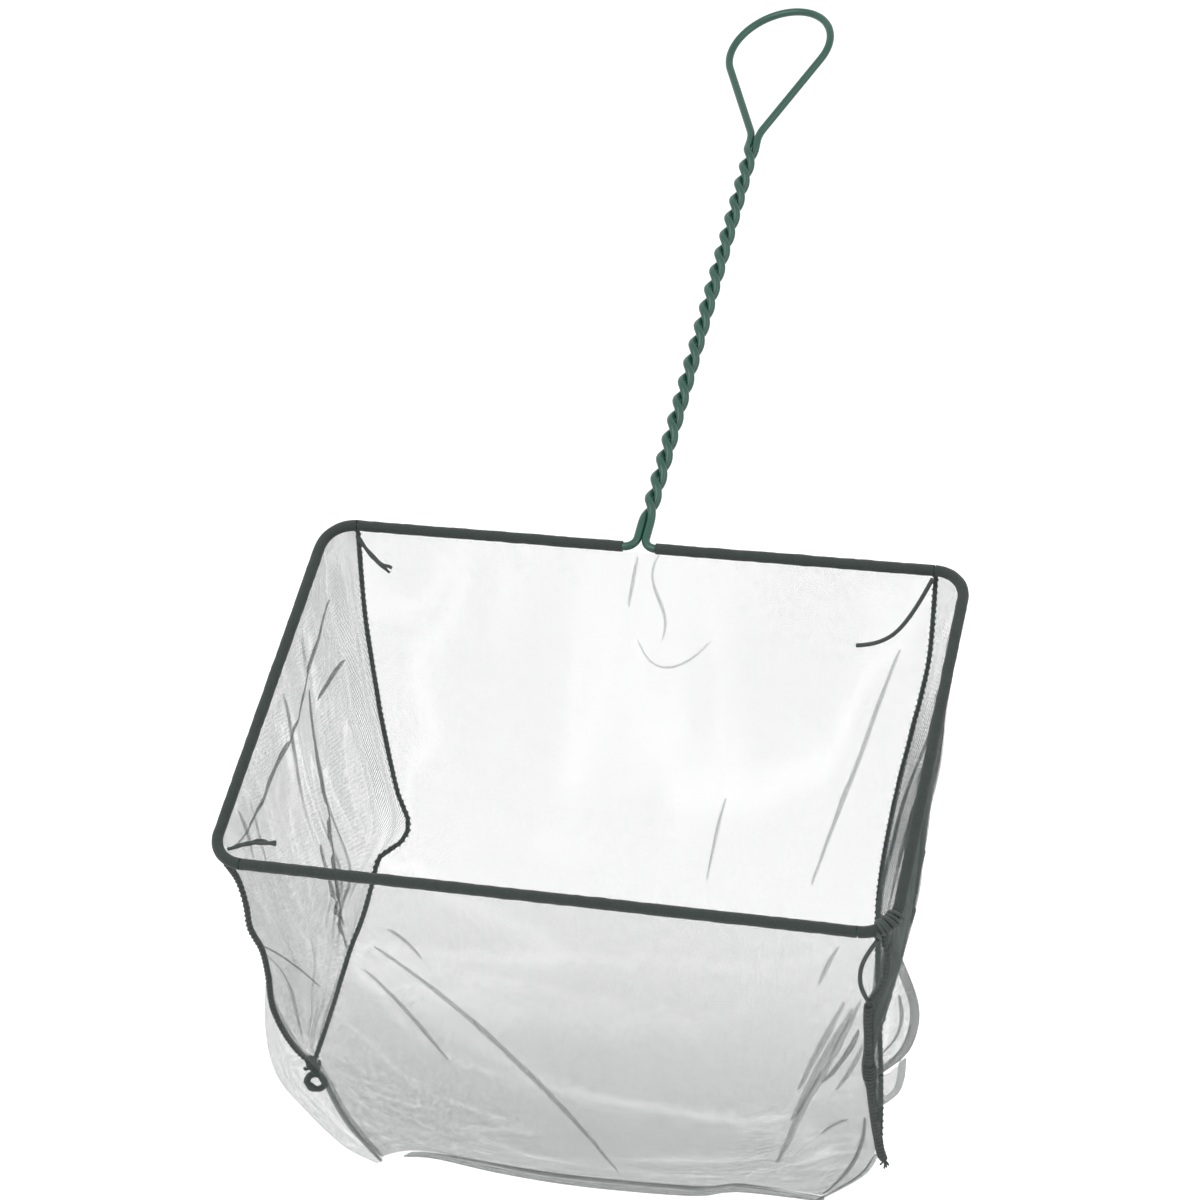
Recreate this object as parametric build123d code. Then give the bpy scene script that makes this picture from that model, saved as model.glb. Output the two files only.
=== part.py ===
from build123d import *
from math import acos, atan2, cos, degrees, hypot, radians, sin, sqrt, tan
import os

# Coated wire, millimetres and degrees throughout
wire_od = 3.2                  # steel wire with its plastic coating
core_od = 2.4                  # bare steel where the coating is stripped
strip_length = 9.0             # bare steel at each end of the wire
end_gap = 0.4                  # between the two wire ends
sleeve_clearance = 0.1         # sleeve bore over the bare steel, each side
tube_side_count = 8            # flats round every wire, casing and thread

# Rim, measured between wire centres
rim_width = 250.0
rim_depth = 156.0
rim_corner_radius = 12.0
root_bend_radius = 4.5         # where the rim turns into the handle
root_leg = 6.5                 # straight run before the twist starts

# Twisted handle and hanging loop
strand_clearance = 0.45        # between the two strands
twist_length = 205.0
twist_half_turns = 20
twist_ease = 8.0               # run over which the twist starts and stops
loop_roll = 11.0               # loop's plane about the handle, from the rim's plane
loop_length = 77.0             # neck to crown
loop_width = 45.0
loop_neck_radius = 15.0

# How the net hangs
handle_rise = 24.0             # handle above level
bag_drop = 206.0               # rim centre down to the bottom fold
fold_ahead = 14.0              # fold in front of the rim's centre

# Net bag, which swells down to a belly, closes at the gussets' tips and hangs flat from there to its fold
net_thickness = 0.6
belly_drop = 98.0              # below the rim's plane, as the tips
belly_middle = -48.0           # along the handle from the rim's centre, as the tips
belly_depth = 106.0            # front panel to back panel
belly_width = 226.0
belly_corner_radius = 8.0
tip_drop = 150.0
tip_middle = -92.0
tip_depth = 26.0
tip_width = 222.0
tip_corner_radius = 4.0
fold_width = 188.0
fold_depth = 5.0
fold_corner_radius = 2.0
corner_side_count = 2          # flats that round each corner of the bag

# Hem, a tape sewn round the rim wire with two leaves on the net
hem_tape = 0.6
hem_clearance = 0.25           # tape to wire and tape to net
hem_leaf = 8.5                 # wire centre to the leaves' lower edge
hem_end_gap = 0.5              # between one hem and the next

# Seam bindings
seam_width = 3.4
seam_thickness = 0.9
sew_clearance = 0.25           # between sewn pieces

# Thread tails left at the ends of the seams, each point as (in from the seam, down the panel)
tail_od = 1.6
tail_bend = 0.45               # share of a run that its bend takes
back_left_route = [(2, 7), (6, 14), (13.3, 17)]
back_right_route = [(2.5, 7), (8.5, 22), (18.7, 34), (28.6, 35)]
front_right_route = [(0.6, 21), (5.7, 26), (5.3, 33), (0, 38)]
front_left_route = [(5.5, 5.5), (13.5, 9.5), (22.5, 10.5)]   # in from the side wire and the front wire

# Worked out from the sizes above
wire_radius = wire_od / 2
strand_offset = (wire_od + strand_clearance) / 2
hem_bore = wire_od + 2 * hem_clearance
hem_od = hem_bore + 2 * hem_tape
net_top = hem_od / 2 + sew_clearance
leaf_outside = net_thickness / 2 + hem_clearance + hem_tape
seam_outside = net_thickness / 2 + sew_clearance + seam_thickness
twist_start = rim_depth / 2 + root_bend_radius + root_leg
neck_y = twist_start + twist_length
grip_y = twist_start + twist_length / 2
seam_top_x = rim_width / 2 - rim_corner_radius

# In the rim's own frame X is the rim's width, Y runs along the handle and Z is the rim's normal
up = Vector(0, sin(radians(handle_rise)), cos(radians(handle_rise)))
level = Vector(0, cos(radians(handle_rise)), -sin(radians(handle_rise)))
bag_bottom = up * -bag_drop - level * fold_ahead
front_middle = Vector(0, -rim_depth / 2, 0)
back_middle = Vector(0, rim_depth / 2, 0)
right_middle = Vector(rim_width / 2, 0, 0)

# The bag's levels, parallel to the rim: middle, depth, width and corner radius
bag_levels = [
    (Vector(0, 0, 0), rim_depth, rim_width, rim_corner_radius),
    (Vector(0, belly_middle, -belly_drop), belly_depth, belly_width, belly_corner_radius),
    (Vector(0, tip_middle, -tip_drop), tip_depth, tip_width, tip_corner_radius),
    (bag_bottom, fold_depth, fold_width, fold_corner_radius),
]
middle_line = [middle for middle, depth, width, radius in bag_levels]
front_line = [middle - Vector(0, depth / 2, 0) for middle, depth, width, radius in bag_levels]
back_line = [middle + Vector(0, depth / 2, 0) for middle, depth, width, radius in bag_levels]
front_hang = (front_line[1] - front_middle).normalized()
back_hang = (back_line[1] - back_middle).normalized()
right_hang = Vector((belly_width - rim_width) / 2, 0, -belly_drop).normalized()

# The handle's middle comes to the origin, with the handle rising towards +Y
placement = Rot(handle_rise, 0, 0) * Pos(0, -grip_y, 0)


def tube(path, diameter):
    start = Plane(origin=path @ 0, z_dir=path % 0)
    return sweep(start * RegularPolygon(diameter / 2, tube_side_count), path=path, clean=False)


def mirrored(shape):
    return mirror(shape, about=Plane.YZ)


def right_rim_wire():
    stripped = end_gap / 2 + strip_length
    path = FilletPolyline(
        (stripped, -rim_depth / 2),
        (rim_width / 2, -rim_depth / 2),
        (rim_width / 2, rim_depth / 2),
        (strand_offset, rim_depth / 2),
        (strand_offset, twist_start),
        radius=[rim_corner_radius, rim_corner_radius, root_bend_radius],
    )
    bare_end = Plane(origin=(end_gap / 2, -rim_depth / 2, 0), z_dir=(1, 0, 0)) * Circle(core_od / 2)
    return tube(path, wire_od) + extrude(bare_end, strip_length)


def joint_sleeve():
    middle = Plane(origin=front_middle, z_dir=(1, 0, 0))
    ring = Circle(wire_radius) - Circle(core_od / 2 + sleeve_clearance)
    return extrude(middle * ring, strip_length, both=True)


def twist_angle(run):
    total = radians(180 * twist_half_turns + loop_roll)
    rate = total / (twist_length - twist_ease)
    if run < twist_ease:
        return rate * run**2 / (2 * twist_ease), rate * run / twist_ease
    left = twist_length - run
    if left < twist_ease:
        return total - rate * left**2 / (2 * twist_ease), rate * left / twist_ease
    return rate * (run - twist_ease / 2), rate


def strand_station(run, phase):
    angle, rate = twist_angle(run)
    turned = angle + phase
    point = Vector(strand_offset * cos(turned), twist_start + run, strand_offset * sin(turned))
    heading = Vector(-strand_offset * rate * sin(turned), 1, strand_offset * rate * cos(turned))
    return point, heading.normalized()


def biarc(start, start_heading, end, end_heading):
    # Two arcs meet halfway between points set off the same distance along both tangents
    chord = end - start
    both = start_heading + end_heading
    square = both.dot(both) - 4
    middle = -2 * chord.dot(both)
    reach = (-middle - sqrt(middle**2 - 4 * square * chord.dot(chord))) / (2 * square)
    first = start + start_heading * reach
    second = end - end_heading * reach
    meet = (first + second) * 0.5
    lead = Edge.make_tangent_arc(start, start_heading, meet)
    return [lead, Edge.make_tangent_arc(meet, second - first, end)]


def strand_path(phase):
    spans = 2 * (twist_half_turns + 2)
    stations = [strand_station(twist_length * step / spans, phase) for step in range(spans + 1)]
    edges = []
    for here, there in zip(stations, stations[1:]):
        edges += biarc(*here, *there)
    return Wire(edges)


def hanging_loop():
    crown_radius = loop_width / 2
    crown_y = loop_length - crown_radius
    neck_x = strand_offset + loop_neck_radius
    tangent_reach = (loop_neck_radius + crown_radius) / hypot(neck_x, crown_y)
    flare = degrees(atan2(crown_y, neck_x) - acos(tangent_reach))
    right_flare = JernArc((strand_offset, 0), (0, 1), loop_neck_radius, -flare)
    right_touch = Vector(0, crown_y) + Vector(crown_radius, 0).rotate(Axis.Z, -flare)
    right_side = Line(right_flare @ 1, right_touch)
    crown = JernArc(right_touch, right_side % 1, crown_radius, 180 + 2 * flare)
    left_side = mirrored(right_side)
    left_flare = mirrored(right_flare)
    outline = Wire([*right_flare.edges(), *right_side.edges(), *crown.edges(),
                    *left_side.edges(), *left_flare.edges()])
    across = Vector(cos(radians(loop_roll)), 0, sin(radians(loop_roll)))
    plane = Plane(origin=(0, neck_y, 0), x_dir=across, z_dir=across.cross(Vector(0, 1, 0)))
    return tube(plane * outline, wire_od)


def bag_outline(front, back, width, corner_radius):
    # Corners of a rectangle rounded in flats, from the front panel to the back panel
    along = (back - front).normalized()
    reach_x = width / 2 - corner_radius
    reach_along = (back - front).length / 2 - corner_radius
    points = []
    for side_x, side_along, turned in ((1, 1, 0), (-1, 1, 90), (-1, -1, 180), (1, -1, 270)):
        for flat in range(corner_side_count + 1):
            angle = radians(turned + 90 * flat / corner_side_count)
            across = Vector(side_x * reach_x + corner_radius * cos(angle), 0, 0)
            inward = side_along * reach_along + corner_radius * sin(angle)
            points.append((front + back) * 0.5 + across + along * inward)
    return points


def crossing(first, second):
    # Where two lines of the side view meet, each given by its normal and its distance
    (a, reach_a), (b, reach_b) = first, second
    scale = a.Y * b.Z - a.Z * b.Y
    return Vector(0, (reach_a * b.Z - reach_b * a.Z) / scale, (a.Y * reach_b - b.Y * reach_a) / scale)


def panel_line(points, outward, growth):
    # A panel's side view moved out by a distance, from the rim's plane to the bottom
    lines = [(Vector(0, 0, 1), 0)]
    for upper, lower in zip(points, points[1:]):
        normal = Vector(outward, 0, 0).cross(lower - upper).normalized()
        lines.append((normal, upper.dot(normal) + growth))
    lines.append((Vector(0, 0, -1), growth - points[-1].Z))
    return [crossing(above, under) for above, under in zip(lines, lines[1:])]


def flats_between(upper, lower):
    # The panels are level across and stay whole, and the flats beside them are halved
    flats = []
    for corner in range(len(upper)):
        left, right = upper[corner - 1], upper[corner]
        low_left, low_right = lower[corner - 1], lower[corner]
        if corner % (2 * corner_side_count + 2) == corner_side_count + 1:
            flats.append([left, right, low_right, low_left])
        else:
            flats += [[left, right, low_right], [left, low_right, low_left]]
    return flats


def bag_form(growth):
    # The bag's outside moved out by a distance, solid from the rim's plane to the bottom fold
    front = panel_line(front_line, -1, growth)
    back = panel_line(back_line, 1, growth)
    outlines = []
    for level, (middle, depth, width, radius) in enumerate(bag_levels):
        outlines.append(bag_outline(front[level], back[level], width + 2 * growth, radius + growth))
    flats = [outlines[0], outlines[-1]]
    for upper, lower in zip(outlines, outlines[1:]):
        flats += flats_between(upper, lower)
    return Solid(Shell([Face(Wire.make_polygon(flat)) for flat in flats]))


def seam_corners():
    # Where the seams pass each level, and on below the fold
    corners = [(width / 2 - radius, middle.Z) for middle, depth, width, radius in bag_levels]
    return corners + [(corners[-1][0], 2 * bag_bottom.Z)]


def seam_x(height):
    corners = seam_corners()
    for (upper_x, upper), (lower_x, lower) in zip(corners, corners[1:]):
        if height >= lower:
            return upper_x + (lower_x - upper_x) * (height - upper) / (lower - upper)


def between_seams(growth):
    # Everything between the left and right seam lines, moved out by a distance
    right = [(x + growth, height) for x, height in seam_corners()]
    left = [(-x, height) for x, height in reversed(right)]
    return extrude(Plane.XZ * Polygon(*right, *left, align=None), 2 * rim_depth, both=True)


def front_half(gap):
    # Everything in front of the line halfway between the panels, kept clear of it
    middles = [(middle.Y - gap, middle.Z) for middle in middle_line]
    low, ahead = 2 * bag_bottom.Z, -2 * rim_depth
    side = Polygon(*middles, (middles[-1][0], low), (ahead, low), (ahead, 0), align=None)
    return extrude(Plane.YZ * side, rim_width, both=True)


def below_hem(shape):
    return split(shape, bisect_by=Plane.XY.offset(-net_top), keep=Keep.BOTTOM)


def net_panels():
    skin = below_hem(bag_form(net_thickness / 2) - bag_form(-net_thickness / 2))
    strip = skin & between_seams(-sew_clearance / 2)
    gussets = skin - between_seams(sew_clearance / 2)
    left, right = gussets.solids().sort_by(Axis.X)
    return strip, left, right


def seam_bindings():
    inside = net_thickness / 2 + sew_clearance
    layer = below_hem(bag_form(inside + seam_thickness) - bag_form(inside))
    band = layer & (between_seams(seam_width / 2) - between_seams(-seam_width / 2))
    front = band & front_half(sew_clearance / 2)
    back = band - front_half(-sew_clearance / 2)
    return [*front.solids().sort_by(Axis.X), *back.solids().sort_by(Axis.X)]


def hem_leaves(middle, run, hang, length):
    slot = net_thickness + 2 * hem_clearance
    pair = Rectangle(slot + 2 * hem_tape, hem_leaf, align=(Align.CENTER, Align.MAX))
    gap = Rectangle(slot, hem_leaf, align=(Align.CENTER, Align.MAX))
    leaves = pair - gap - Circle(hem_od / 2 - hem_tape / 2)
    return extrude(Plane(origin=middle, x_dir=run.cross(hang), z_dir=run) * leaves, length / 2, both=True)


def casing(path):
    return tube(path, hem_od) - tube(path, hem_bore)


def straight_hem(start_x, end_x, edge, hang):
    run = Line((start_x, edge.Y), (end_x, edge.Y))
    leaf_reach = seam_x(-hem_leaf) - seam_width / 2 - hem_end_gap
    leaf_start = max(start_x, -leaf_reach)
    leaf_end = min(end_x, leaf_reach)
    middle = Vector((leaf_start + leaf_end) / 2, edge.Y, 0)
    return casing(run) + hem_leaves(middle, Vector(1, 0, 0), hang, leaf_end - leaf_start)


def right_hem():
    side_reach = rim_depth / 2 - rim_corner_radius
    front_corner = JernArc((seam_top_x, -rim_depth / 2), (1, 0), rim_corner_radius, 90)
    side = Line((rim_width / 2, -side_reach), (rim_width / 2, side_reach))
    back_corner = JernArc(side @ 1, (0, 1), rim_corner_radius, 90)
    run = Wire([*front_corner.edges(), *side.edges(), *back_corner.edges()])
    # The gusset's back corner slants forward with the back panel, and the leaves stop short of it
    back_slant = hem_leaf * back_hang.Y / back_hang.Z
    leaf_length = 2 * side_reach - back_slant - hem_end_gap
    middle = right_middle - Vector(0, (back_slant + hem_end_gap) / 2, 0)
    return casing(run) + hem_leaves(middle, Vector(0, 1, 0), right_hang, leaf_length)


def thread_tail(points):
    # Each bend is as large as the shorter of its two runs allows
    radii = []
    for before, here, after in zip(points, points[1:], points[2:]):
        half_turn = radians((here - before).get_angle(after - here)) / 2
        shorter = min((here - before).length, (after - here).length)
        radii.append(tail_bend * shorter / tan(half_turn))
    print("thread tail bends", [round(radius, 1) for radius in radii], "mm")
    return tube(FilletPolyline(*points, radius=radii), tail_od)


def on_panel(edge, hang, lift, side, route):
    # Points beside the left or right seam, all lifted the same way off the panel's front
    lifted = edge - Vector(1, 0, 0).cross(hang) * lift
    points = []
    for inward, down in route:
        drop = hang * down
        points.append(lifted + drop + Vector(side * (seam_x(drop.Z) - inward), 0, 0))
    return points


def on_rim(route):
    # Points inside the rim's front left corner
    return [Vector(inward - rim_width / 2, back - rim_depth / 2, 0) for inward, back in route]


def pieces():
    hem_reach = seam_top_x - hem_end_gap
    root_reach = strand_offset + root_bend_radius + hem_end_gap
    strip, left_gusset, right_gusset = net_panels()
    front_left_seam, front_right_seam, back_left_seam, back_right_seam = seam_bindings()
    on_leaf = leaf_outside + sew_clearance + tail_od / 2
    on_seam = seam_outside + sew_clearance + tail_od / 2
    return {
        "left_rim_wire": mirrored(right_rim_wire()),
        "right_rim_wire": right_rim_wire(),
        "left_handle_strand": tube(strand_path(radians(180)), wire_od),
        "right_handle_strand": tube(strand_path(0), wire_od),
        "hanging_loop": hanging_loop(),
        "joint_sleeve": joint_sleeve(),
        "front_hem": straight_hem(-hem_reach, hem_reach, front_middle, front_hang),
        "back_left_hem": straight_hem(-hem_reach, -root_reach, back_middle, back_hang),
        "back_right_hem": straight_hem(root_reach, hem_reach, back_middle, back_hang),
        "left_hem": mirrored(right_hem()),
        "right_hem": right_hem(),
        "front_back_net": strip,
        "left_gusset_net": left_gusset,
        "right_gusset_net": right_gusset,
        "front_left_seam": front_left_seam,
        "front_right_seam": front_right_seam,
        "back_left_seam": back_left_seam,
        "back_right_seam": back_right_seam,
        "back_left_thread_tail": thread_tail(on_panel(back_middle, back_hang, on_leaf, -1, back_left_route)),
        "back_right_thread_tail": thread_tail(on_panel(back_middle, back_hang, on_leaf, 1, back_right_route)),
        "front_right_thread_tail": thread_tail(
            on_panel(front_middle, front_hang, on_seam, 1, front_right_route)
        ),
        "front_left_thread_tail": thread_tail(on_rim(front_left_route)),
    }


def least_strand_gap():
    samples = [step / 400 for step in range(401)]
    right = strand_path(0)
    left = strand_path(radians(180))
    right_points = [right @ share for share in samples]
    left_points = [left @ share for share in samples]
    nearest = min((a - b).length for a in right_points for b in left_points)
    return nearest - wire_od


os.makedirs("parts", exist_ok=True)
for name, shape in pieces().items():
    export_step(placement * shape, f"parts/{name}.step")
print("least gap between the strands", round(least_strand_gap(), 3), "mm")
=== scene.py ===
from math import acos, atan2, cos, hypot, pi, radians, sin

import bpy
from mathutils import Matrix, Vector, noise


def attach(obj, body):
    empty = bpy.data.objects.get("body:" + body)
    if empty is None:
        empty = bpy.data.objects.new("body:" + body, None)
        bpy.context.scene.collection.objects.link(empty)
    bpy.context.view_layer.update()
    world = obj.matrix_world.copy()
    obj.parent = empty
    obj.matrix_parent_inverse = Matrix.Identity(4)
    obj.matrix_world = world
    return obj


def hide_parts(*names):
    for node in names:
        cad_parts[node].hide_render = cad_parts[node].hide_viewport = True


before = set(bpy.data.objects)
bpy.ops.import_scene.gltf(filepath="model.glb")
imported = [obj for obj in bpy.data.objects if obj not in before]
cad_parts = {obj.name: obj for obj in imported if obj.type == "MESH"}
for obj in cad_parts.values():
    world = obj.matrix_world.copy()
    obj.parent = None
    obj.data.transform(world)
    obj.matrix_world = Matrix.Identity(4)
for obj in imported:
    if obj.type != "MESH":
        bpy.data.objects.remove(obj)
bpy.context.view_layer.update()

# Places are in millimetres, in the rim's own frame or from the rim's middle
rim = {"width": 250, "depth": 156, "corner": 12, "root": 4.5, "rise": 24, "gripY": 191.5}
rimTurn = Matrix.Rotation(radians(rim["rise"]), 3, "X")
rimMiddle = rimTurn @ Vector((0, -rim["gripY"], 0))


def onRim(x, y, z=0.0):                     # along the rim's own axes
    return (rimMiddle + rimTurn @ Vector((x, y, z))) / 1000


def below(x, y, z):                         # along the world's axes, from the rim's middle
    return (rimMiddle + Vector((x, y, z))) / 1000


def arc(cx, cy, radius, start, end, count):
    turns = [radians(start + (end - start) * k / count) for k in range(count + 1)]
    return [(cx + radius * cos(t), cy + radius * sin(t)) for t in turns]


smoothSteps = 24                            # between two guide points of a line


def evenly(points, count):                  # a smooth line through points, as count even steps
    line = [Vector(p) for p in points]
    fine = []
    for k in range(len(line) - 1):
        a, b = line[max(k - 1, 0)], line[k]
        c, d = line[k + 1], line[min(k + 2, len(line) - 1)]
        for step in range(smoothSteps):
            t = step / smoothSteps
            bend = b * 2 + (c - a) * t + (a * 2 - b * 5 + c * 4 - d) * t * t + (b * 3 - a - c * 3 + d) * t ** 3
            fine.append(bend / 2)
    fine.append(line[-1])
    runs = [0.0]
    for p, q in zip(fine, fine[1:]):
        runs.append(runs[-1] + (q - p).length)
    even, at = [], 0
    for k in range(count + 1):
        want = runs[-1] * k / count
        while at < len(fine) - 2 and runs[at + 1] < want:
            at += 1
        share = (want - runs[at]) / max(runs[at + 1] - runs[at], 1e-9)
        even.append(fine[at].lerp(fine[at + 1], min(max(share, 0), 1)))
    return even


def freshStart():
    if bpy.context.object and bpy.context.object.mode != "OBJECT":
        bpy.ops.object.mode_set(mode="OBJECT")
    bpy.ops.object.select_all(action="DESELECT")


def tubeAlong(name, points, radius, sides=12, closed=False):
    freshStart()
    bpy.ops.curve.primitive_nurbs_path_add()
    piece = bpy.context.object
    piece.name = piece.data.name = name
    curve = piece.data
    curve.splines.clear()
    spline = curve.splines.new("POLY")
    spline.points.add(len(points) - 1)
    for spot, place in zip(spline.points, points):
        spot.co = (*place, 1)
    spline.use_cyclic_u = closed
    curve.bevel_depth = radius / 1000
    curve.bevel_resolution = sides // 2 - 2
    curve.use_fill_caps = not closed
    bpy.ops.object.convert(target="MESH")
    piece = bpy.context.object
    bpy.ops.object.shade_smooth()
    return piece


def joined(name, pieces):
    freshStart()
    for piece in pieces:
        piece.select_set(True)
    bpy.context.view_layer.objects.active = pieces[0]
    bpy.ops.object.join()
    pieces[0].name = pieces[0].data.name = name
    return pieces[0]


class Flow:                                 # a shader socket that takes part in sums
    def __init__(self, tree, socket):
        self.tree = tree
        self.socket = socket

    def node(self, kind, settings=None, sockets=None, out=0):
        made = self.tree.nodes.new(kind)
        for key, value in (settings or {}).items():
            if key == "stops":
                ramp = made.color_ramp.elements
                while len(ramp) < len(value):
                    ramp.new(0.5)
                for stop, (place, colour) in zip(ramp, value):
                    stop.position = place
                    stop.color = (*colour, 1)
            else:
                setattr(made, key, value)
        for key, value in (sockets or {}).items():
            if isinstance(value, Flow):
                self.tree.links.new(value.socket, made.inputs[key])
            else:
                made.inputs[key].default_value = value
        return Flow(self.tree, made.outputs[out])

    def sum(self, operation, first, second=0.0):
        return self.node("ShaderNodeMath", {"operation": operation}, {0: first, 1: second})

    def __add__(self, other):
        return self.sum("ADD", self, other)

    def __sub__(self, other):
        return self.sum("SUBTRACT", self, other)

    def __rsub__(self, other):
        return self.sum("SUBTRACT", other, self)

    def __mul__(self, other):
        return self.sum("MULTIPLY", self, other)

    def __gt__(self, other):
        return self.sum("GREATER_THAN", self, other)

    __radd__ = __add__
    __rmul__ = __mul__


def newFinish(name, **fixed):               # a Principled shader with its fixed values, and a flow to build on
    finish = bpy.data.materials.new(name)
    finish.use_nodes = True
    shader = finish.node_tree.nodes["Principled BSDF"]
    for key, value in fixed.items():
        shader.inputs[key.replace("_", " ")].default_value = value
    place = Flow(finish.node_tree, None).node("ShaderNodeTexCoord", out="Object")
    return finish, shader, place


def feed(flow, shader, socket):
    flow.tree.links.new(flow.socket, shader.inputs[socket])


def mixed(share, first, second):            # a colour between two
    settings = {"data_type": "RGBA"}
    return share.node("ShaderNodeMix", settings, {0: share, 6: (*first, 1), 7: (*second, 1)}, out=2)


def grain(place, scale, detail=3.0):
    sockets = {"Vector": place, "Scale": scale, "Detail": detail, "Roughness": 0.55}
    return place.node("ShaderNodeTexNoise", None, sockets)


def bumped(flow, shader, strength, distance):
    sockets = {"Height": flow, "Strength": strength, "Distance": distance}
    feed(flow.node("ShaderNodeBump", None, sockets), shader, "Normal")


coating = {"deep": (0.008, 0.052, 0.036), "worn": (0.020, 0.092, 0.066), "patch": 90, "fine": 1400,
           "rough": (0.26, 0.18), "bump": (0.12, 0.0004)}  # least and spread, strength and metres


def coatingFinish():
    finish, shader, place = newFinish("greenCoating", IOR=1.5)
    patches = grain(place, coating["patch"])
    fine = grain(place, coating["fine"], 2)
    least, spread = coating["rough"]
    feed(mixed(patches * 0.8 + fine * 0.25, coating["deep"], coating["worn"]), shader, "Base Color")
    feed(least + patches * spread, shader, "Roughness")
    bumped(patches + fine * 0.4, shader, *coating["bump"])
    return finish


steel = {"bright": (0.62, 0.62, 0.60), "dull": (0.42, 0.42, 0.41), "drawn": 700, "rough": (0.25, 0.2)}


def steelFinish():
    finish, shader, place = newFinish("bareSteel", Metallic=1.0)
    drawn = grain(place, steel["drawn"], 2)
    least, spread = steel["rough"]
    feed(mixed(drawn, steel["dull"], steel["bright"]), shader, "Base Color")
    feed(least + drawn * spread, shader, "Roughness")
    return finish


cloth = {"hem": ((0.018, 0.026, 0.023), (0.044, 0.056, 0.051), 1500),  # dark, light and scale of the weave
         "seam": ((0.020, 0.027, 0.025), (0.065, 0.080, 0.075), 1800),
         "thread": ((0.030, 0.040, 0.037), (0.085, 0.100, 0.095), 2600)}


def clothFinish(name):                      # dense net, wound or gathered until no light passes
    dark, light, weave = cloth[name]
    finish, shader, place = newFinish(name + "Cloth", Sheen_Weight=0.15, Sheen_Roughness=0.5)
    shader.inputs["Specular IOR Level"].default_value = 0.25
    crossed = place.node("ShaderNodeTexVoronoi", {"feature": "DISTANCE_TO_EDGE"}, {"Vector": place, "Scale": weave})
    tone = grain(place, 220)
    knots = crossed.sum("MINIMUM", crossed * 3.2, 1.0)
    feed(mixed(tone * 0.7 + knots * 0.35, dark, light), shader, "Base Color")
    feed(0.62 + tone * 0.25, shader, "Roughness")
    bumped(knots + tone * 0.6, shader, 0.5, 0.0003)
    return finish


# Net: the cell in millimetres, threads as shares of it, and how thick the threads run along each cut from its top on,
# which darkens the net: partly net drawn together, partly painted shade
net = {"cell": 0.55, "thin": 0.024, "thick": 0.066, "knot": 0.12, "sway": 1.2, "swayScale": 40, "unevenScale": 160,
       "wall": 0.0005,                      # metres
       "dark": (0.035, 0.052, 0.045), "light": (0.10, 0.125, 0.115),
       "strip": ((0, 0), (0.2, 0.6), (0.35, 0.9), (0.5, 0.95), (0.6, 0.75), (0.72, 0.3), (1, 0.3)),
       "left": ((0, 0.95), (0.5, 0.75), (1, 0.45)),
       "right": ((0, 0.25), (0.18, 0.4), (0.32, 1), (0.62, 1), (0.78, 0.3), (1, 0.1)),
       "leftClose": 1.3, "rightClose": 2.1, "foldedClose": 2.4}


def netFinish(name, width, length, drawn, close=1.0):  # a diamond mesh on the cut's own flat layout
    finish, shader, place = newFinish(name, Sheen_Weight=0.1, Roughness=0.6)
    shader.inputs["Specular IOR Level"].default_value = 0.3
    flat = place.node("ShaderNodeTexCoord", out="UV")
    across = flat.node("ShaderNodeSeparateXYZ", None, {0: flat}, out=0)
    down = flat.node("ShaderNodeSeparateXYZ", None, {0: flat}, out=1)
    u = across * (width / net["cell"])
    v = down * (length / net["cell"])
    sway = grain(flat, net["swayScale"]) * net["sway"]  # threads never run quite straight
    first = u + v + sway
    second = u - v + sway
    offFirst = first.sum("ABSOLUTE", first.sum("FRACT", first) - 0.5)
    offSecond = second.sum("ABSOLUTE", second.sum("FRACT", second) - 0.5)
    uneven = grain(flat, net["unevenScale"], 2)
    tones = [(stop, (share, share, share)) for stop, share in drawn]
    # threads thicken along the cut, partly where the net is drawn together and partly as painted shade
    gatherAndShade = down.node("ShaderNodeValToRGB", {"stops": tones}, {0: down})
    half = (net["thin"] + gatherAndShade * (net["thick"] * close - net["thin"])) * (0.65 + uneven * 0.7)
    knots = (offFirst + offSecond) > 1 - net["knot"]
    onThread = half.sum("MAXIMUM", offFirst > 0.5 - half, offSecond > 0.5 - half)
    feed(half.sum("MAXIMUM", onThread, knots), shader, "Alpha")
    feed(mixed(uneven, net["dark"], net["light"]), shader, "Base Color")
    return finish


# The wire: one length from the rim's front middle, round, up the handle, round the loop and back
wire = {"od": 3.2, "core": 2.4, "strip": 9.2, "leg": 6.5, "gap": 0.03, "twist": 205, "halfTurns": 20, "ease": 8,
        "roll": 11, "loopLength": 77, "loopWidth": 45, "neck": 15, "strandSteps": 420}


def strandPoints(phase):
    count = wire["strandSteps"]
    offset = (wire["od"] + wire["gap"]) / 2
    total = radians(180 * wire["halfTurns"] + wire["roll"])
    rate = total / (wire["twist"] - wire["ease"])
    start = rim["depth"] / 2 + rim["root"] + wire["leg"]
    points = []
    for k in range(count + 1):
        run = wire["twist"] * k / count
        left = wire["twist"] - run
        turned = rate * (run - wire["ease"] / 2)
        if run < wire["ease"]:
            turned = rate * run ** 2 / (2 * wire["ease"])
        if left < wire["ease"]:
            turned = total - rate * left ** 2 / (2 * wire["ease"])
        points.append((offset * cos(turned + phase), start + run, offset * sin(turned + phase)))
    return points


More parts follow.
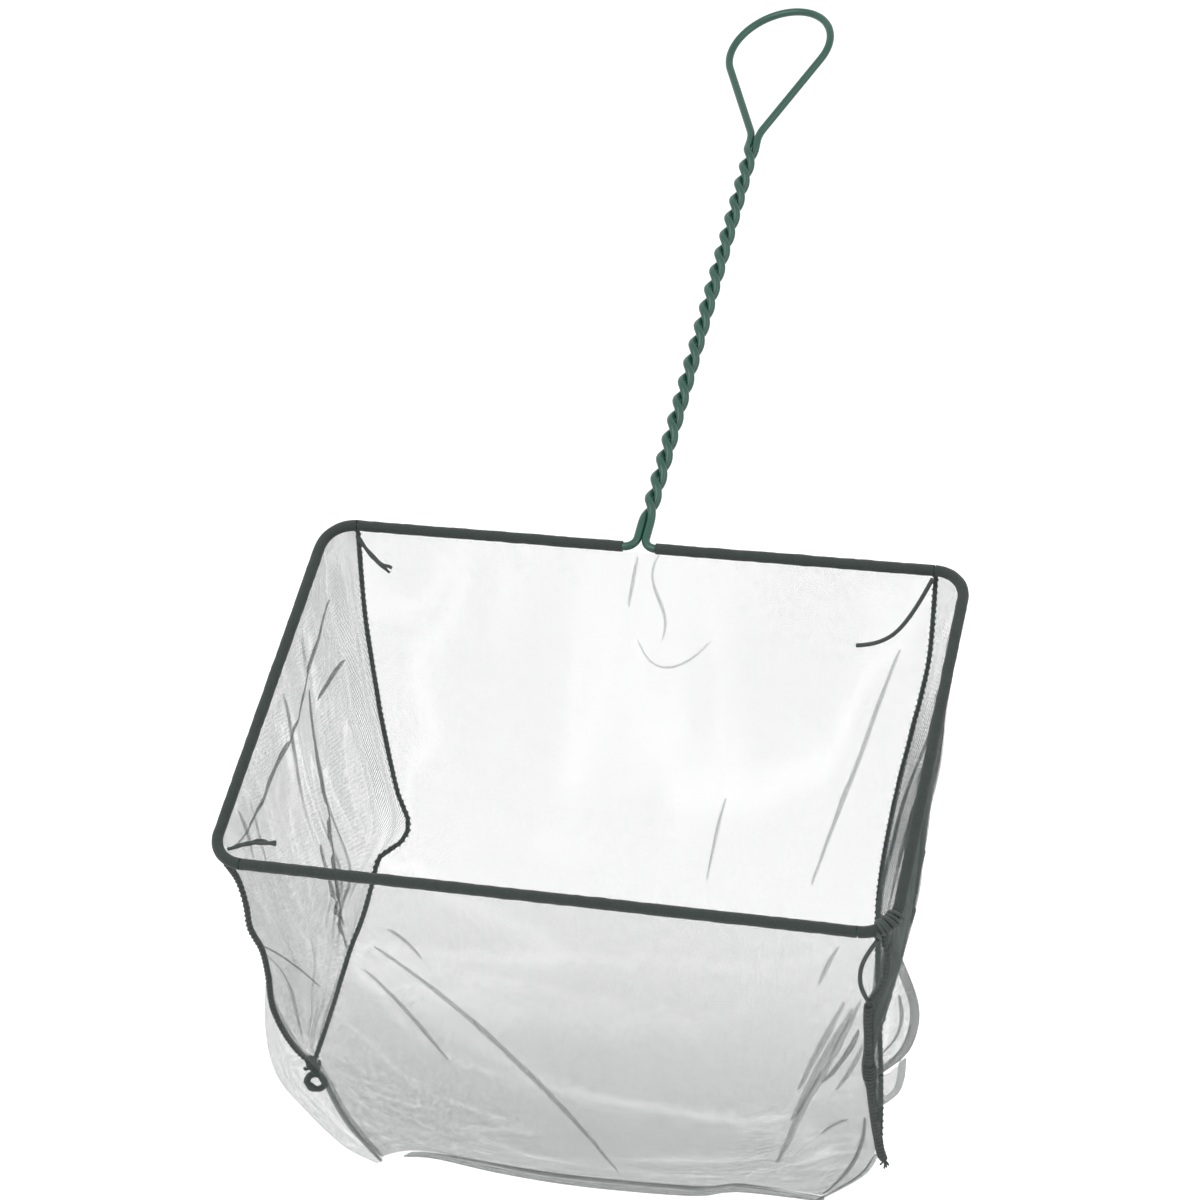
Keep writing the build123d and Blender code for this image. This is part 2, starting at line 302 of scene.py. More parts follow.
def loopPoints():
    offset = (wire["od"] + wire["gap"]) / 2
    crown = wire["loopWidth"] / 2
    crownY = wire["loopLength"] - crown
    neckX = offset + wire["neck"]
    flare = atan2(crownY, neckX) - acos((wire["neck"] + crown) / hypot(neckX, crownY))
    flareEnd = flare * 180 / pi
    right = arc(neckX, 0, wire["neck"], 180, 180 - flareEnd, 12)[1:]
    top = arc(0, crownY, crown, -flareEnd, 180 + flareEnd, 60)
    left = [(-x, y) for x, y in reversed(right)]
    neckY = rim["depth"] / 2 + rim["root"] + wire["leg"] + wire["twist"]
    tilt = radians(wire["roll"])
    return [(x * cos(tilt), neckY + y, x * sin(tilt)) for x, y in right + top + left]


def rightRimPoints(start):
    w, d, c = rim["width"] / 2, rim["depth"] / 2, rim["corner"]
    offset = (wire["od"] + wire["gap"]) / 2
    flat = [(start, -d)]
    flat += [(start + (w - c - start) * k / 20, -d) for k in range(1, 20)]
    flat += arc(w - c, c - d, c, -90, 0, 12)
    flat += [(w, c - d + (2 * d - 2 * c) * k / 24) for k in range(1, 24)]
    flat += arc(w - c, d - c, c, 0, 90, 12)
    flat += [(w - c + (offset + rim["root"] - w + c) * k / 20, d) for k in range(1, 20)]
    flat += arc(offset + rim["root"], d + rim["root"], rim["root"], -90, -180, 10)
    return [(x, y, 0.0) for x, y in flat]


def makeWire():
    right = rightRimPoints(wire["strip"])
    left = [(-x, y, z) for x, y, z in right]
    line = left + strandPoints(pi) + loopPoints()[::-1] + strandPoints(0)[::-1] + right[::-1]
    coated = tubeAlong("coatedWire", [onRim(*p) for p in line], wire["od"] / 2, 14)
    coated.data.materials.append(coatingFinish())
    ends = []
    for side in (-1, 1):
        stub = [onRim(side * x, -rim["depth"] / 2) for x in (0.2, 5, wire["strip"] + 0.3)]
        ends.append(tubeAlong("bareEnd", stub, wire["core"] / 2, 12))
        ends[-1].data.materials.append(bareSteel)
    coated = joined("coatedWire", [coated] + ends)
    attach(coated, "root")
    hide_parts("left_rim_wire", "right_rim_wire", "left_handle_strand", "right_handle_strand",
                "hanging_loop")
    return coated


bareSteel = steelFinish()
coatedWire = makeWire()
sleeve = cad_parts["joint_sleeve"]
sleeve.data.materials.clear()
sleeve.data.materials.append(bareSteel)
print("wire: one length,", len(coatedWire.data.polygons), "faces")

# The bag: seams follow the real net's, and the panels hang slack between them
bag = {"top": 2.0, "full": 10, "across": 60, "upper": 44, "lower": 16, "side": 60, "frames": 45, "settle": 16,
       "taper": 0.97, "rightSlack": 0.2, "weld": 0.0002, "cells": 5000,  # metres, and look-up cells to the metre
       "frontLeft": [(-119.2, -62, -45.4), (-118.4, -60, -57.6), (-119, -58, -69.2), (-118.3, -52, -83),
                     (-119.2, -48, -97.2), (-121.6, -43, -114.9), (-120.9, -38, -130.1), (-119, -32, -143.6),
                     (-115.4, -27, -154)],
       "backLeft": [(-110.5, 63, -0.7), (-106.5, 56, -27.9), (-102.6, 50.5, -49.3), (-97.8, 45.1, -70.7),
                    (-92.8, 41.2, -83.2), (-95.2, 36, -89.4), (-101.8, 30, -92.9), (-102.2, 20, -99.5),
                    (-103, 8, -108.1), (-105.1, -2, -115.7), (-110.2, -15, -136), (-115.4, -27, -154)],
       "frontRight": [(120.8, -66.5, -38), (121.4, -65, -45), (119.8, -62, -55.5), (116.2, -59, -65.5),
                      (112.8, -57.5, -71), (110.6, -49.9, -92.9), (108.7, -41.4, -117.1), (108.1, -32.8, -141.8),
                      (108.2, -26.1, -160.7)],
       "backRight": [(111.5, 63, -1.4), (106.2, 56, -28.1), (101.3, 50, -51.3), (97.5, 43, -74.8), (96.5, 34, -92),
                     (99, 20, -106), (103, 2, -122), (106.5, -14, -142), (108.2, -26.1, -160.7)],
       "lowLeft": [(-115.4, -27, -154), (-110, -17, -187.5), (-99.6, -10, -210.8)],
       "lowRight": [(108.2, -26.1, -160.7), (100.3, -20, -178.8), (83.2, -14, -196.5)],
       "fold": [(-99.6, -10, -210.8), (-76.3, -14, -200.5), (-22.6, -14, -202.5), (34.1, -14, -199.5),
                (50.2, -14, -195.5), (83.2, -14, -196.5)],
       "frontSplit": {-1: -60, 1: -45}}  # where the front seams start on the corner bends, degrees


def hemEdge(points, drop):                  # points of the rim's line, let down towards the bag
    return [below(*(rimTurn @ Vector((x, y, 0)))) - Vector((0, 0, drop / 1000)) for x, y in points]


def metres(points):
    return [below(*p) for p in points]


def seamLine(top, points, count):
    return evenly([top] + metres(points), count)


def sideTop(side, count):
    w, d, c = rim["width"] / 2, rim["depth"] / 2, rim["corner"]
    upright = [(w, c - d + (2 * d - 2 * c) * k / 12) for k in range(1, 12)]
    flat = arc(w - c, c - d, c, bag["frontSplit"][side], 0, 6) + upright + arc(w - c, d - c, c, 0, 90, 8)
    return evenly(hemEdge([(side * x, y) for x, y in flat], bag["top"]), count)


def coons(s, t, top, bottom, left, right):  # a point between four border lines
    def at(line, share):
        place = share * (len(line) - 1)
        k = min(int(place + 1e-6), len(line) - 2)
        return line[k].lerp(line[k + 1], place - k)
    rows = at(top, s) * (1 - t) + at(bottom, s) * t
    columns = at(left, t) * (1 - s) + at(right, t) * s
    corners = (top[0] * (1 - s) + top[-1] * s) * (1 - t) + (bottom[0] * (1 - s) + bottom[-1] * s) * t
    return rows + columns - corners


w, d, c = rim["width"] / 2 - rim["corner"], rim["depth"] / 2, rim["corner"]  # half width between the bends
leftBend = [(-x, y) for x, y in arc(w, c - d, c, bag["frontSplit"][-1], -90, 4)]
rightBend = arc(w, c - d, c, -90, bag["frontSplit"][1], 4)
between = [(w * (k / 6 - 1), -d) for k in range(1, 12)]
frontTop = evenly(hemEdge(leftBend + between + rightBend, bag["top"]), bag["across"])
backTop = evenly(hemEdge([(-w, d), (w, d)], bag["top"]), bag["across"])
seams = {"frontLeft": seamLine(frontTop[0], bag["frontLeft"], bag["upper"]),
         "frontRight": seamLine(frontTop[-1], bag["frontRight"], bag["upper"]),
         "backLeft": seamLine(backTop[0], bag["backLeft"], bag["upper"]),
         "backRight": seamLine(backTop[-1], bag["backRight"], bag["upper"]),
         "lowLeft": evenly(metres(bag["lowLeft"]), bag["lower"]),
         "lowRight": evenly(metres(bag["lowRight"]), bag["lower"])}
foldLine = evenly(metres(bag["fold"]), bag["across"])


def netStrip():
    rows = bag["upper"] + bag["lower"]
    freshStart()
    bpy.ops.mesh.primitive_grid_add(x_subdivisions=bag["across"], y_subdivisions=2 * rows, size=1)
    strip = bpy.context.object
    strip.name = strip.data.name = "netStrip"
    frontLeft = seams["frontLeft"] + seams["lowLeft"][1:]
    frontRight = seams["frontRight"] + seams["lowRight"][1:]
    backLeft = seams["backLeft"] + seams["lowLeft"][1:]
    backRight = seams["backRight"] + seams["lowRight"][1:]
    for spot in strip.data.vertices:
        s, t = spot.co.x + 0.5, (spot.co.y + 0.5) * 2
        if t <= 1:
            spot.co = coons(s, t, frontTop, foldLine, frontLeft, frontRight) - fullness(s, t)
        else:
            spot.co = coons(s, 2 - t, backTop, foldLine, backLeft, backRight) + fullness(s, 2 - t)
    return strip


def fullness(s, t):                         # the two panels stand apart above the fold
    return Vector((0, bag["full"] / 1000 * sin(pi * s) ** 0.5 * sin(pi * t ** 3), 0))


def gusset(name, side, front, back):
    freshStart()
    bpy.ops.mesh.primitive_grid_add(x_subdivisions=bag["side"], y_subdivisions=bag["upper"], size=1)
    piece = bpy.context.object
    piece.name = piece.data.name = name
    top = sideTop(side, bag["side"])
    tip = [front[-1]] * 2
    layout = piece.data.uv_layers.active.data
    for corner in piece.data.loops:         # the cut narrows to its tip, and so does its flat layout
        flat = layout[corner.index].uv
        flat.x = 0.5 + (flat.x - 0.5) * (1.0 - bag["taper"] * flat.y)
    for spot in piece.data.vertices:
        s, t = spot.co.x + 0.5, spot.co.y + 0.5
        spot.co = coons(s, t, top, tip, front, back)
    return piece


def fullLength(line):
    return sum((b - a).length for a, b in zip(line, line[1:])) * 1000


stripSize = (226, fullLength(seams["frontLeft"]) + fullLength(seams["backLeft"]) + 2 * fullLength(seams["lowLeft"]))
gussetSize = (165, 160)
print("net cuts, mm:", [round(x) for x in stripSize], gussetSize)


def drapedBag():
    strip = netStrip()
    left = gusset("leftGusset", -1, seams["frontLeft"], seams["backLeft"])
    right = gusset("rightGusset", 1, seams["frontRight"], seams["backRight"])
    strip.data.materials.append(netFinish("stripNet", *stripSize, net["strip"]))
    netFinish("foldedNet", *stripSize, net["strip"], net["foldedClose"])
    left.data.materials.append(netFinish("leftGussetNet", *gussetSize, net["left"], net["leftClose"]))
    right.data.materials.append(netFinish("rightGussetNet", *gussetSize, net["right"], net["rightClose"]))
    whole = joined("netBag", [strip, left, right])
    bpy.ops.object.mode_set(mode="EDIT")
    bpy.ops.mesh.select_all(action="SELECT")
    bpy.ops.mesh.remove_doubles(threshold=bag["weld"])
    bpy.ops.mesh.normals_make_consistent(inside=False)
    bpy.ops.object.mode_set(mode="OBJECT")
    pinned = whole.vertex_groups.new(name="sewn")
    roomy = whole.vertex_groups.new(name="slack")
    sewnPlaces = [p for line in seams.values() for p in line] + frontTop + backTop
    sewnPlaces += foldLine + sideTop(-1, bag["side"]) + sideTop(1, bag["side"])
    spots = {tuple(round(x * bag["cells"]) for x in p) for p in sewnPlaces}
    near = [(i, j, k) for i in (-1, 0, 1) for j in (-1, 0, 1) for k in (-1, 0, 1)]
    sewn = []
    for spot in whole.data.vertices:
        place = tuple(round(x * bag["cells"]) for x in spot.co)
        if any((place[0] + i, place[1] + j, place[2] + k) in spots for i, j, k in near):
            sewn.append(spot.index)
    pinned.add(sewn, 1.0, "REPLACE")
    for finish, share in ((2, bag["rightSlack"]), (1, 1.0)):
        sides = {v for face in whole.data.polygons if face.material_index == finish for v in face.vertices}
        roomy.add(sorted(sides), share, "REPLACE")
    print("bag:", len(whole.data.vertices), "points,", len(sewn), "of them sewn")
    hang(whole)
    return whole


# How the net behaves as cloth; room is how much larger than its place a cut is, as negative shrink
hanging = {"quality": 6, "mass": 0.05, "stretch": 12, "shear": 4, "bending": 0.02, "damping": 8, "air": 2,
           "stripRoom": -0.018, "gussetRoom": -0.07}


def hang(whole):
    modifier = whole.modifiers.new("hanging", "CLOTH")
    settings = modifier.settings
    settings.quality = hanging["quality"]
    settings.mass = hanging["mass"]
    settings.tension_stiffness = settings.compression_stiffness = hanging["stretch"]
    settings.shear_stiffness = hanging["shear"]
    settings.bending_stiffness = hanging["bending"]
    settings.tension_damping = settings.compression_damping = hanging["damping"]
    settings.air_damping = hanging["air"]
    settings.vertex_group_mass = "sewn"
    settings.vertex_group_shrink = "slack"
    settings.shrink_min = hanging["stripRoom"]
    settings.shrink_max = hanging["gussetRoom"]
    modifier.collision_settings.use_collision = False
    scene = bpy.context.scene
    scene.frame_start, scene.frame_end = 1, bag["frames"]
    modifier.point_cache.frame_end = bag["frames"]
    for step in range(1, bag["frames"] + 1):
        scene.frame_set(step)
    freshStart()
    bpy.context.view_layer.objects.active = whole
    whole.select_set(True)
    bpy.ops.object.modifier_apply(modifier="hanging")
    scene.frame_set(1)
    settled = whole.modifiers.new("settled", "SMOOTH")
    settled.vertex_group, settled.invert_vertex_group = "sewn", True
    settled.factor, settled.iterations = 0.5, bag["settle"]
    bpy.ops.object.modifier_apply(modifier="settled")


# Gathers in the gussets: how many, how deep in millimetres, how far to one side; then where they die out
gathers = {"left": (9, 2.2, 0), "right": (13, 3.2, -0.7), "wander": 0.9, "hemmed": 0.08, "sewn": 0.06, "fade": 0.6}


def pleated(piece, waves, deep, aside):     # they run from the side wire to the gusset's tip
    layout = piece.data.uv_layers.active.data
    flat = {}
    for corner in piece.data.loops:
        flat[corner.vertex_index] = layout[corner.index].uv
    for spot in piece.data.vertices:
        u, v = flat[spot.index]
        s = 0.5 + (u - 0.5) / (1 - bag["taper"] * v)
        wander = gathers["wander"] * noise.noise(Vector((s * 5, v * 2.5, waves)))
        height = sin(2 * pi * (waves * s + wander)) * (0.6 + 0.8 * noise.noise(Vector((s * 9, v * 3, 4))))
        held = min(1, v / gathers["hemmed"]) * min(1, s / gathers["sewn"]) * min(1, (1 - s) / gathers["sewn"])
        held *= (1 - v) ** gathers["fade"]
        spot.co.x += deep / 1000 * (height + aside) * max(held, 0)


# Creases: narrow folds that lie flat on the net, as width, place on the panel's tone ramp, and guide points
crease = {
    "ease": 8, "step": 2, "lift": 0.0003, "edge": 0.0002,  # passes, millimetres, metres, metres
    "run": 0.009, "ramp": 0.008,            # shares of the flat layout
    "strip": [
        (2.5, 0.86, [(-66.1, -67.5, -63.3), (-51.1, -65.1, -77.4), (-34.8, -61.7, -96.2), (-20.4, -57.8, -115.9),
                     (-7, -52.5, -137.5), (2.3, -46.4, -156), (9.2, -36.9, -176.6)]),
        (1.8, 1.0, [(-59.8, -68.8, -54.1), (-54, -68.1, -59.1), (-48.7, -66.8, -66.7)]),
        (2.0, 1.0, [(-72, -65.4, -75.6), (-64.1, -63.5, -86.5), (-56.7, -60.7, -100), (-46.9, -56.8, -118.7)]),
        (1.6, 0.5, [(-117.5, -55, -79), (-110.8, -59.8, -78.9), (-101.9, -60.8, -83.7), (-93.9, -60.4, -91.9)]),
        (1.6, 0.86, [(-117, -53, -84), (-111.9, -55.5, -91), (-110.6, -50.1, -106), (-109.6, -42.6, -125.2)]),
        (3.0, 0.86, [(110.5, -61.4, -68.6), (101.1, -56.7, -89.2), (95.3, -53.7, -103.2), (84.1, -48.3, -126.8),
                     (77.4, -43.3, -145.3), (71, -37.7, -162.3)]),
        (3.4, 0.86, [(107.5, -61.2, -72.2), (96.7, -57.1, -93.1), (87.6, -52, -114.5), (79.6, -46.3, -135.8)]),
        (2.6, 0.5, [(107.9, -54.8, -85.3), (100.4, -52.2, -101.4), (93.1, -50.2, -113.7)]),
        (2.4, 0.86, [(105, -63.6, -67.8), (92.9, -58, -93.8), (84.2, -52, -117.3)]),
        (2.2, 0.86, [(108.3, -50.8, -94.7), (101, -47.6, -111.3), (96.7, -46, -119.8)]),
        (1.6, 0.86, [(89.7, -39.3, -145.6), (93.9, -39.2, -141.3), (99.3, -38.1, -138.6)]),
        (1.5, 1.0, [(105.5, -70.5, -39.8), (100.8, -69.5, -47), (97.1, -67.1, -58.8)]),
        (1.8, 0.5, [(104.8, -35.8, -139), (102.1, -32.1, -154.7), (93.3, -25.3, -174.1), (83, -16, -194)]),
        (1.9, 1.0, [(100.2, 65.9, 0), (93.6, 62.8, -20.4), (85.9, 56.8, -43.9), (77.1, 49.7, -69.5),
                    (69.6, 40.4, -91.6)]),
        (1.2, 1.0, [(33.9, 51.2, -64.2), (30.5, 46.2, -79.6), (27.8, 40.1, -94.3)]),
        (0.8, 0.05, [(-1.3, 65, -4.9), (3, 63.4, -13.2), (8.5, 62.9, -15.9), (19.5, 63.9, -11),
                     (27.3, 65.3, -3.2)]),
        (1.3, 0.05, [(-0.5, 70.8, 28), (-2.2, 69, 17.7), (-4.5, 67.2, 7.7)]),
        (1.2, 0.05, [(7.5, 70.9, 29), (4.4, 69.6, 21), (8.4, 67.8, 10.7), (10.9, 66.3, 2.5), (8.4, 65, -4.7)]),
        (1.8, 0.5, [(121.5, -52, -70), (118, -44, -88), (112, -44, -101)]),
        (1.6, 0.86, [(124, -40, -92), (118.5, -38, -100), (112, -40, -110)])],
    "left": [
        (2.0, 0.6, [(-115.1, 6.3, -73.6), (-113.1, 6.1, -89.4), (-111, 4.9, -104.7), (-105.1, -2.3, -116.4)]),
        (2.0, 0.3, [(-123.3, 31, -19.6), (-120.1, 25.2, -40.5), (-117, 20.2, -62.1), (-111.3, 9, -81.8),
                    (-109.1, 4.3, -108.7)]),
        (2.2, 0.3, [(-122, 15.7, -23.8), (-122.1, -1.7, -29), (-123.3, -20.3, -35.3), (-122.9, -46.3, -40.8)]),
        (1.8, 0.3, [(-117.1, 53.6, -18.5), (-119.8, 43.2, -21.8), (-121.3, 33, -25)]),
        (1.6, 0.1, [(-122.4, 58.3, 5.1), (-121.9, 40, -6.8), (-122, 15.7, -23.8)])],
    "right": [
        (2.4, 0.5, [(120, 55, 12), (112.5, 43, -30), (107, 28, -68), (104.5, 8, -104)]),
        (2.6, 0.5, [(122, 42, 6), (115, 29, -40), (110, 6, -88), (108.5, -18, -138)]),
        (2.4, 0.5, [(123, 18, -6), (118, 7, -50), (112, -9, -94), (109, -22, -138)])]}


def creaseOn(piece, wide, tone, guide):
    line = evenly(metres(guide), max(10, int(fullLength(metres(guide)) / crease["step"])))
    last = len(line) - 1
    freshStart()
    bpy.ops.mesh.primitive_grid_add(x_subdivisions=last, y_subdivisions=2, size=1)
    fold = bpy.context.object
    fold.data.materials.append(piece.data.materials[0])
    for corner in fold.data.uv_layers.active.data:
        corner.uv = (corner.uv.x * last * crease["run"], tone + corner.uv.y * crease["ramp"] - crease["ramp"])
    feet = []
    for k, place in enumerate(line):
        foot, normal = piece.closest_point_on_mesh(place)[1:3]
        ahead = (line[min(k + 1, last)] - line[max(k - 1, 0)]).normalized()
        feet.append((foot, normal, normal.cross(ahead)))
    for again in range(crease["ease"]):     # a fold runs straighter than the gathers under it
        feet[1:-1] = [((a[0] + b[0] * 2 + c[0]) / 4, b[1], b[2]) for a, b, c in zip(feet, feet[1:], feet[2:])]
    for spot in fold.data.vertices:
        s, t = spot.co.x + 0.5, spot.co.y * 2
        foot, normal, aside = feet[round(s * last)]
        reach = wide / 1000 * (0.2 + 0.8 * sin(pi * s) ** 0.5) * (1 + 0.3 * noise.noise(foot * 90))
        spot.co = foot + normal * crease["lift"] + aside * (reach if abs(t) < 0.5 else t * crease["edge"])
    return fold


# Slack of the strip that stands out beyond the seams, as a place on the tone ramp and the two lines it lies between
rightFlap = [(122.9, -64, -38.7), (125, -52, -58.4), (126.1, -38, -83.1), (124.3, -32, -99.4), (119.3, -30, -112.7),
             (109.8, -38, -118)]
lowFlap = [(118.3, -24, -118.6), (117, -22, -129.3), (114.7, -24, -135.5), (109.6, -32, -135.7)]
slack = {
    "steps": 30, "rows": 8, "bulge": 0.25, "run": 0.4, "ramp": 0.05, "back": 0.03,
    "strip": [
        (0.13, [(-118, -47, -97.2), (-120, -42, -114.9), (-117, -31, -143.6), (-113, -25, -154), (-107, -15, -187.5),
                (-98, -9, -209.8)],
         [(-122, -45, -104), (-130, -34, -136.6), (-132.6, -24, -163.7), (-126.8, -18, -182.2), (-114.9, -10, -206.2),
          (-100.8, -10, -213)]),
        (0.5, [(-88, -12, -205.4), (-76.3, -14, -200.5), (-22.6, -14, -202.5), (34.1, -14, -199.5),
               (50.2, -14, -195.5), (83.2, -14, -196.5)],
         [(-88, -12.3, -205.8), (-74, -15, -202.4), (-50, -16, -204.3), (-22.6, -16.5, -205.3), (5, -16.5, -204.6),
          (34.1, -16.5, -202.2), (50.2, -16, -198), (84.2, -15, -198)]),
        (0.25, [(-114.6, -26, -157), (-110, -17, -187.5), (-99.6, -10, -210.8)],
         [(-111.6, -27.5, -156), (-106, -19.5, -186), (-97, -13, -209)]),
        (0.4, [(108, -26, -162), (100.3, -20, -178.8), (83.2, -14, -196.5)],
         [(106.5, -28, -161.5), (98.3, -22.5, -177.5), (81.5, -17, -195.5)]),
        (0.12, [(121.4, -65, -45), (116.2, -59, -65.5), (112.8, -57.5, -71), (110.6, -49.9, -92.9),
                (108.7, -41.4, -117.1)], rightFlap),
        (0.12, [(108.9, -42.5, -114), (108.4, -37, -129), (108.1, -33, -138)], lowFlap),
        (0.25, rightFlap, [(121, -64.8, -40.5), (122.3, -53, -59.4), (123.2, -39.4, -82.6), (121.6, -33.4, -98),
                           (117.6, -31.4, -109.9), (109.4, -38.8, -115)]),
        (0.12, lowFlap, [(116, -25.4, -118.8), (114.9, -23.6, -127.8), (113.2, -25.6, -133), (109.2, -32.6, -133.2)])]}


def slackPiece(tone, inner, outer):
    steps = slack["steps"]
    freshStart()
    bpy.ops.mesh.primitive_grid_add(x_subdivisions=steps, y_subdivisions=slack["rows"], size=1)
    fold = bpy.context.object
    fold.data.materials.append(bpy.data.materials["foldedNet"])
    for corner in fold.data.uv_layers.active.data:
        corner.uv = (corner.uv.x * slack["run"], tone + corner.uv.y * slack["ramp"] - slack["back"])
    near, far = evenly(metres(inner), steps), evenly(metres(outer), steps)
    for spot in fold.data.vertices:
        s, t = spot.co.x + 0.5, spot.co.y + 0.5
        k = round(s * steps)
        bulge = slack["bulge"] * (far[k] - near[k]).length * sin(pi * t)
        spot.co = near[k].lerp(far[k], t) - Vector((0, bulge, 0))
    return fold


def finished(piece, name, node, part, pleats=None):
    freshStart()
    bpy.context.view_layer.objects.active = piece
    piece.select_set(True)
    piece.name = piece.data.name = name
    smooth = piece.modifiers.new("smooth", "SUBSURF")
    smooth.levels = smooth.render_levels = 1
    bpy.ops.object.modifier_apply(modifier="smooth")
    if pleats:
        pleated(piece, *pleats)
    piece = joined(name, [piece] + [slackPiece(*spare) for spare in slack.get(part, [])])
    piece = joined(name, [piece] + [creaseOn(piece, *fold) for fold in crease[part]])
    wall = piece.modifiers.new("wall", "SOLIDIFY")
    wall.thickness, wall.offset = net["wall"], 0.0
    bpy.ops.object.modifier_apply(modifier="wall")
    bpy.ops.object.shade_smooth()
    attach(piece, "root")
    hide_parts(node)
    return piece


def makeNets():
    whole = drapedBag()
    freshStart()
    bpy.context.view_layer.objects.active = whole
    whole.select_set(True)
    bpy.ops.object.mode_set(mode="EDIT")
    bpy.ops.mesh.select_all(action="SELECT")
    bpy.ops.mesh.separate(type="MATERIAL")
    bpy.ops.object.mode_set(mode="OBJECT")
    parts = {piece.material_slots[0].name: piece for piece in bpy.context.selected_objects}
    area = {name: round(sum(face.area for face in piece.data.polygons), 4) for name, piece in parts.items()}
    print("net areas:", area)
    strip = finished(parts["stripNet"], "frontBackNet", "front_back_net", "strip")
    left = finished(parts["leftGussetNet"], "leftGussetNet", "left_gusset_net", "left", gathers["left"])
    right = finished(parts["rightGussetNet"], "rightGussetNet", "right_gusset_net", "right", gathers["right"])
    return strip, left, right


stripNet, leftNet, rightNet = makeNets()
print("nets:", [len(o.data.polygons) for o in (stripNet, leftNet, rightNet)], "faces")

# Hems: net rolled round the wire and whipped down
hem = {"od": 4.2, "ripple": 0.18, "gap": 0.5, "step": 1.6}


def hemPiece(name, node, points):
    piece = tubeAlong(name, [onRim(x, y) for x, y in points], hem["od"] / 2, 14)
    for spot in piece.data.vertices:
        lump = noise.noise(spot.co * 260) + 0.6 * noise.noise(spot.co * 700)
        spot.co += spot.normal * (lump * hem["ripple"] / 1000)
    piece.data.materials.append(hemCloth)
    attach(piece, "root")
    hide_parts(node)
    return piece


def straight(x0, x1, y):
    count = int(abs(x1 - x0) / hem["step"])
    return [(x0 + (x1 - x0) * k / count, y) for k in range(count + 1)]


def makeHems():
    reach = w - hem["gap"]
    root = (wire["od"] + wire["gap"]) / 2 + rim["root"] + hem["gap"]
    upright = [(y, x) for x, y in straight(c - d, d - c, w + c)]
    side = arc(w, c - d, c, -90, 0, 12) + upright[1:-1] + arc(w, d - c, c, 0, 90, 12)
    made = {"front": hemPiece("frontHem", "front_hem", straight(-reach, reach, -d)),
            "backLeft": hemPiece("backLeftHem", "back_left_hem", straight(-reach, -root, d)),
            "backRight": hemPiece("backRightHem", "back_right_hem", straight(root, reach, d)),
            "right": hemPiece("rightHem", "right_hem", side),
            "left": hemPiece("leftHem", "left_hem", [(-x, y) for x, y in side])}
    return made


hemCloth = clothFinish("hem")
hems = makeHems()
print("hems:", len(hems))

# Seam bindings: the sewn edges, overlocked
binding = {"wide": 1.0, "thread": 0.28, "pitch": 2.4, "turnSteps": 8,
           "left": 0.95, "rightTop": 0.8, "right": 1.45, "back": 0.85,  # shares of the width
           "knot": (-115.4, -27, -154), "knotUp": (-0.6, -1.5, 4), "knotAcross": (4, 0.5, 1),
           "ring": (-116, -25, -163.5), "ringThick": 1.35, "ringLumps": 0.0006,
           "thinUntil": 0.32, "lumpAt": 0.63,   # shares of the front right seam
           "freeEnd": [(108.2, -26.1, -160.7), (108.6, -25.6, -163), (109, -25, -165.5)],
           "hairs": ((0.5, -0.6, -4), (2, 0.3, -3), (-1.2, 0.5, -3.4), (1, 1, -4.6)), "hair": 0.35}


def wound(name, line, radius, pitch, thread):  # thread laid round a line
    turns = max(2, int(fullLength(line) / pitch))
    steps = evenly(line, turns * binding["turnSteps"])
    wrap = []
    for k, place in enumerate(steps):
        ahead = steps[min(k + 1, len(steps) - 1)] - steps[max(k - 1, 0)]
        ahead.normalize()
        out = ahead.cross(Vector((0.3, 0.2, 1))).normalized()
        up = ahead.cross(out)
        turn = 2 * pi * k / binding["turnSteps"]
        wrap.append(place + (out * cos(turn) + up * sin(turn)) * ((radius + thread * 0.5) / 1000))
    piece = tubeAlong(name, wrap, thread, 6)
    piece.data.materials.append(threadCloth)
    return piece


def overlocked(line, thick):
    radius = binding["wide"] * thick
    core = tubeAlong("seamCore", line, radius, 10)
    for spot in core.data.vertices:
        spot.co += spot.normal * (0.25 * radius / 1000 * noise.noise(spot.co * 420))
    core.data.materials.append(seamCloth)
    return [core, wound("seamStitches", line, radius, binding["pitch"], binding["thread"])]


def leftKnot():                             # the gusset's tip is tied off, with a ring of thread left under it
    knot, ring = Vector(binding["knot"]), Vector(binding["ring"])
    up = [below(*(knot + Vector(binding["knotUp"]) * k)) for k in (-0.9, 0, 0.9)]
    across = [below(*(knot + Vector(binding["knotAcross"]) * k)) for k in (-0.8, 0, 0.8)]
    turns = [2 * pi * k / 24 for k in range(24)]
    hoop = [below(*(ring + Vector((3 * cos(t), 1.2 * cos(t), 3.6 * sin(t) - 0.6 * cos(t))))) for t in turns]
    tied = [wound("knotUp", up, 1.2, 1.3, 0.6), wound("knotAcross", across, 1.0, 1.5, 0.6)]
    loop = tubeAlong("knotRing", hoop, binding["ringThick"], 10, True)
    for spot in loop.data.vertices:
        spot.co += spot.normal * (binding["ringLumps"] * noise.noise(spot.co * 500))
    loop.data.materials.append(threadCloth)
    return tied + [loop]


